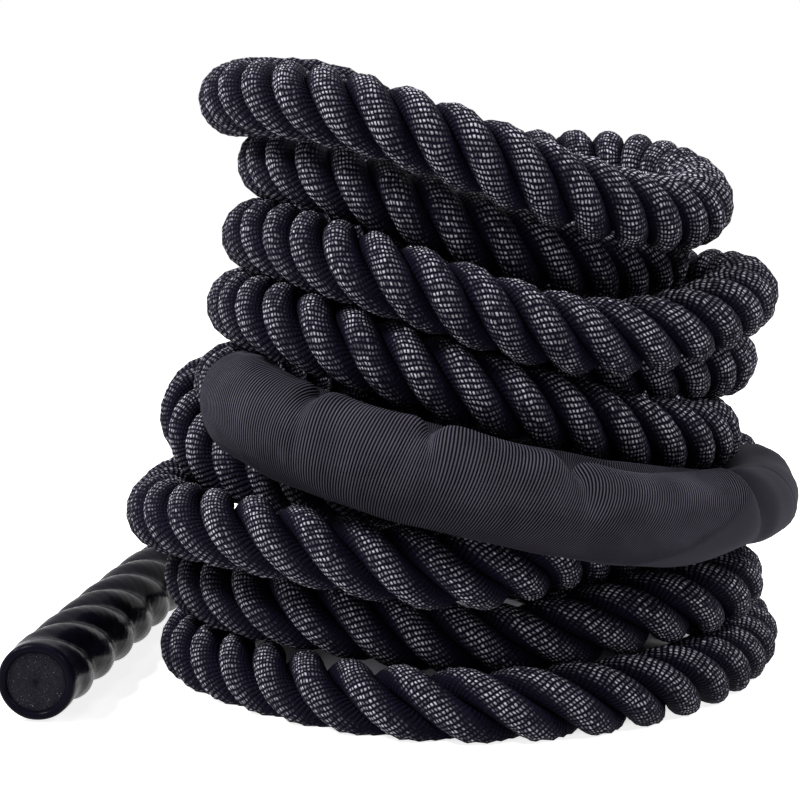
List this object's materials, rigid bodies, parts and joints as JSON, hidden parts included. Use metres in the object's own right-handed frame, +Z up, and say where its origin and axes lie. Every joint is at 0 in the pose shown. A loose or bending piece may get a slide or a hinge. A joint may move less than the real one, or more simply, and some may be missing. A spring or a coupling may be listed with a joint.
{
  "type": "battle rope",
  "caption": "Thick laid training rope piled in a tall coil, with a woven anchor sleeve that slides on one turn and shrunk-on handles at both ends.",
  "frame": {"origin": "on the floor, at the middle of the footprint of the pile with its handles", "axes": "+Z up, -Y to the front, where the picture was taken from, +X to the right as seen from the front"},
  "size_m": [0.4158, 0.4775, 0.3348],
  "materials": {
    "rope": "black polyester strands with a slight sheen",
    "strand": "cut black fibre ends",
    "shrink_tube": "glossy black shrunk tube",
    "sleeve": "ribbed black nylon weave"
  },
  "bodies": {
    "rope": {"rope_coil": "rope", "rope_tail_lower": "rope", "rope_tail_upper": "rope", "handle_lower": "shrink_tube", "handle_upper": "shrink_tube", "strand_lower_1": "strand", "strand_lower_2": "strand", "strand_lower_3": "strand", "strand_upper_1": "strand", "strand_upper_2": "strand", "strand_upper_3": "strand"},
    "sleeve": {"anchor_sleeve": "sleeve"}
  },
  "joints": [
    {"name": "sleeve_slide", "type": "hinge", "parent": "rope", "child": "sleeve", "pos_m": [0.04294, -0.07144, 0.1273], "axis": [0.2078, -0.0324, 0.9776], "range_deg": [-6, 6]}
  ]
}
